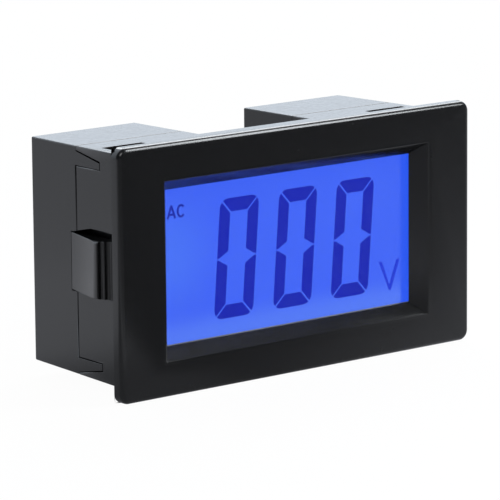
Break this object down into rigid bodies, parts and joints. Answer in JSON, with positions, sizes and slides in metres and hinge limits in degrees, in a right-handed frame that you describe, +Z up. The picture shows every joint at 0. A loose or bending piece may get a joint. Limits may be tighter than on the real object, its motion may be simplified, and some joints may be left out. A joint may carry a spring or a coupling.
{
  "type": "digital panel meter",
  "caption": "Snap-in panel meter: flanged bezel with a sloped window over a blue lit digit display, U-shaped rear housing, side latches and rear screw terminals.",
  "frame": {"origin": "centre of the panel cut-out, in the plane of the bezel's back face", "axes": "+X right as seen from the front, +Y to the rear along the way in, +Z up"},
  "size_m": [0.079, 0.0297, 0.043],
  "materials": {
    "black_housing": "fine satin texture, moulded",
    "polarizer_film": "smooth, faint haze",
    "display_glass": "polished",
    "display_dark": "smooth",
    "seal_resin": "matt",
    "white_film": "matt",
    "clear_acrylic": "polished",
    "silver_film": "bright",
    "led_lens": "clear, tinted",
    "white_plastic": "satin",
    "striped_rubber": "matt, fine stripes",
    "green_board": "lacquered",
    "plated_steel": "zinc plated",
    "chip_resin": "matt",
    "dark_case": "smooth, satin",
    "can_sleeve": "smooth",
    "yellow_case": "smooth",
    "resistor_coat": "smooth",
    "blue_case": "smooth",
    "terminal_resin": "satin",
    "brass_plate": "stamped"
  },
  "bodies": {
    "housing": {"front_shell": "black_housing", "rear_cover": "black_housing", "front_polarizer": "polarizer_film", "front_glass": "display_glass", "lcd_segments": "display_dark", "edge_seal": "seal_resin", "rear_glass": "display_glass", "rear_polarizer": "polarizer_film", "diffuser": "white_film", "light_guide": "clear_acrylic", "reflector": "silver_film", "backlight_leds": "led_lens", "lcd_holder": "white_plastic", "contact_strip_top": "striped_rubber", "contact_strip_bottom": "striped_rubber", "circuit_board": "green_board", "board_screws": "plated_steel", "meter_chip": "chip_resin", "dropper_capacitor": "dark_case", "smoothing_capacitor": "can_sleeve", "film_capacitors": "yellow_case", "divider_resistors": "resistor_coat", "rectifier_diodes": "chip_resin", "trimmer_body": "blue_case", "terminal_block": "terminal_resin", "contact_left": "brass_plate", "contact_right": "brass_plate"},
    "left_latch": {"latch_left": "black_housing"},
    "right_latch": {"latch_right": "black_housing"},
    "left_clamp": {"clamp_left": "plated_steel"},
    "right_clamp": {"clamp_right": "plated_steel"},
    "left_screw": {"terminal_screw_left": "plated_steel"},
    "right_screw": {"terminal_screw_right": "plated_steel"},
    "rotor": {"trimmer_rotor": "white_plastic"}
  },
  "joints": [
    {"name": "left_latch_flex", "type": "hinge", "parent": "housing", "child": "left_latch", "pos_m": [-0.03471, 0.01555, 0], "axis": [0, 0, 1], "range_deg": [0, 8], "stiffness_Nm_per_rad": 0.2},
    {"name": "right_latch_flex", "type": "hinge", "parent": "housing", "child": "right_latch", "pos_m": [0.03471, 0.01555, 0], "axis": [0, 0, -1], "range_deg": [0, 8], "stiffness_Nm_per_rad": 0.2},
    {"name": "left_clamp_slide", "type": "slide", "parent": "housing", "child": "left_clamp", "axis": [0, 1, 0], "range_m": [0, 0.002]},
    {"name": "left_screw_turn", "type": "hinge", "parent": "left_clamp", "child": "left_screw", "pos_m": [-0.005, 0.016, 0], "axis": [0, 1, 0], "range_deg": [0, 1440]},
    {"name": "right_clamp_slide", "type": "slide", "parent": "housing", "child": "right_clamp", "axis": [0, 1, 0], "range_m": [0, 0.002]},
    {"name": "right_screw_turn", "type": "hinge", "parent": "right_clamp", "child": "right_screw", "pos_m": [0.005, 0.016, 0], "axis": [0, 1, 0], "range_deg": [0, 1440]},
    {"name": "trimmer_turn", "type": "hinge", "parent": "housing", "child": "rotor", "pos_m": [0.02, 0.0115, 0.01], "axis": [0, 1, 0], "range_deg": [-130, 130]}
  ],
  "couplings": [
    {"joint": "left_screw_turn", "follows": "left_clamp_slide", "rad_per_m": 12566},
    {"joint": "right_screw_turn", "follows": "right_clamp_slide", "rad_per_m": 12566}
  ]
}
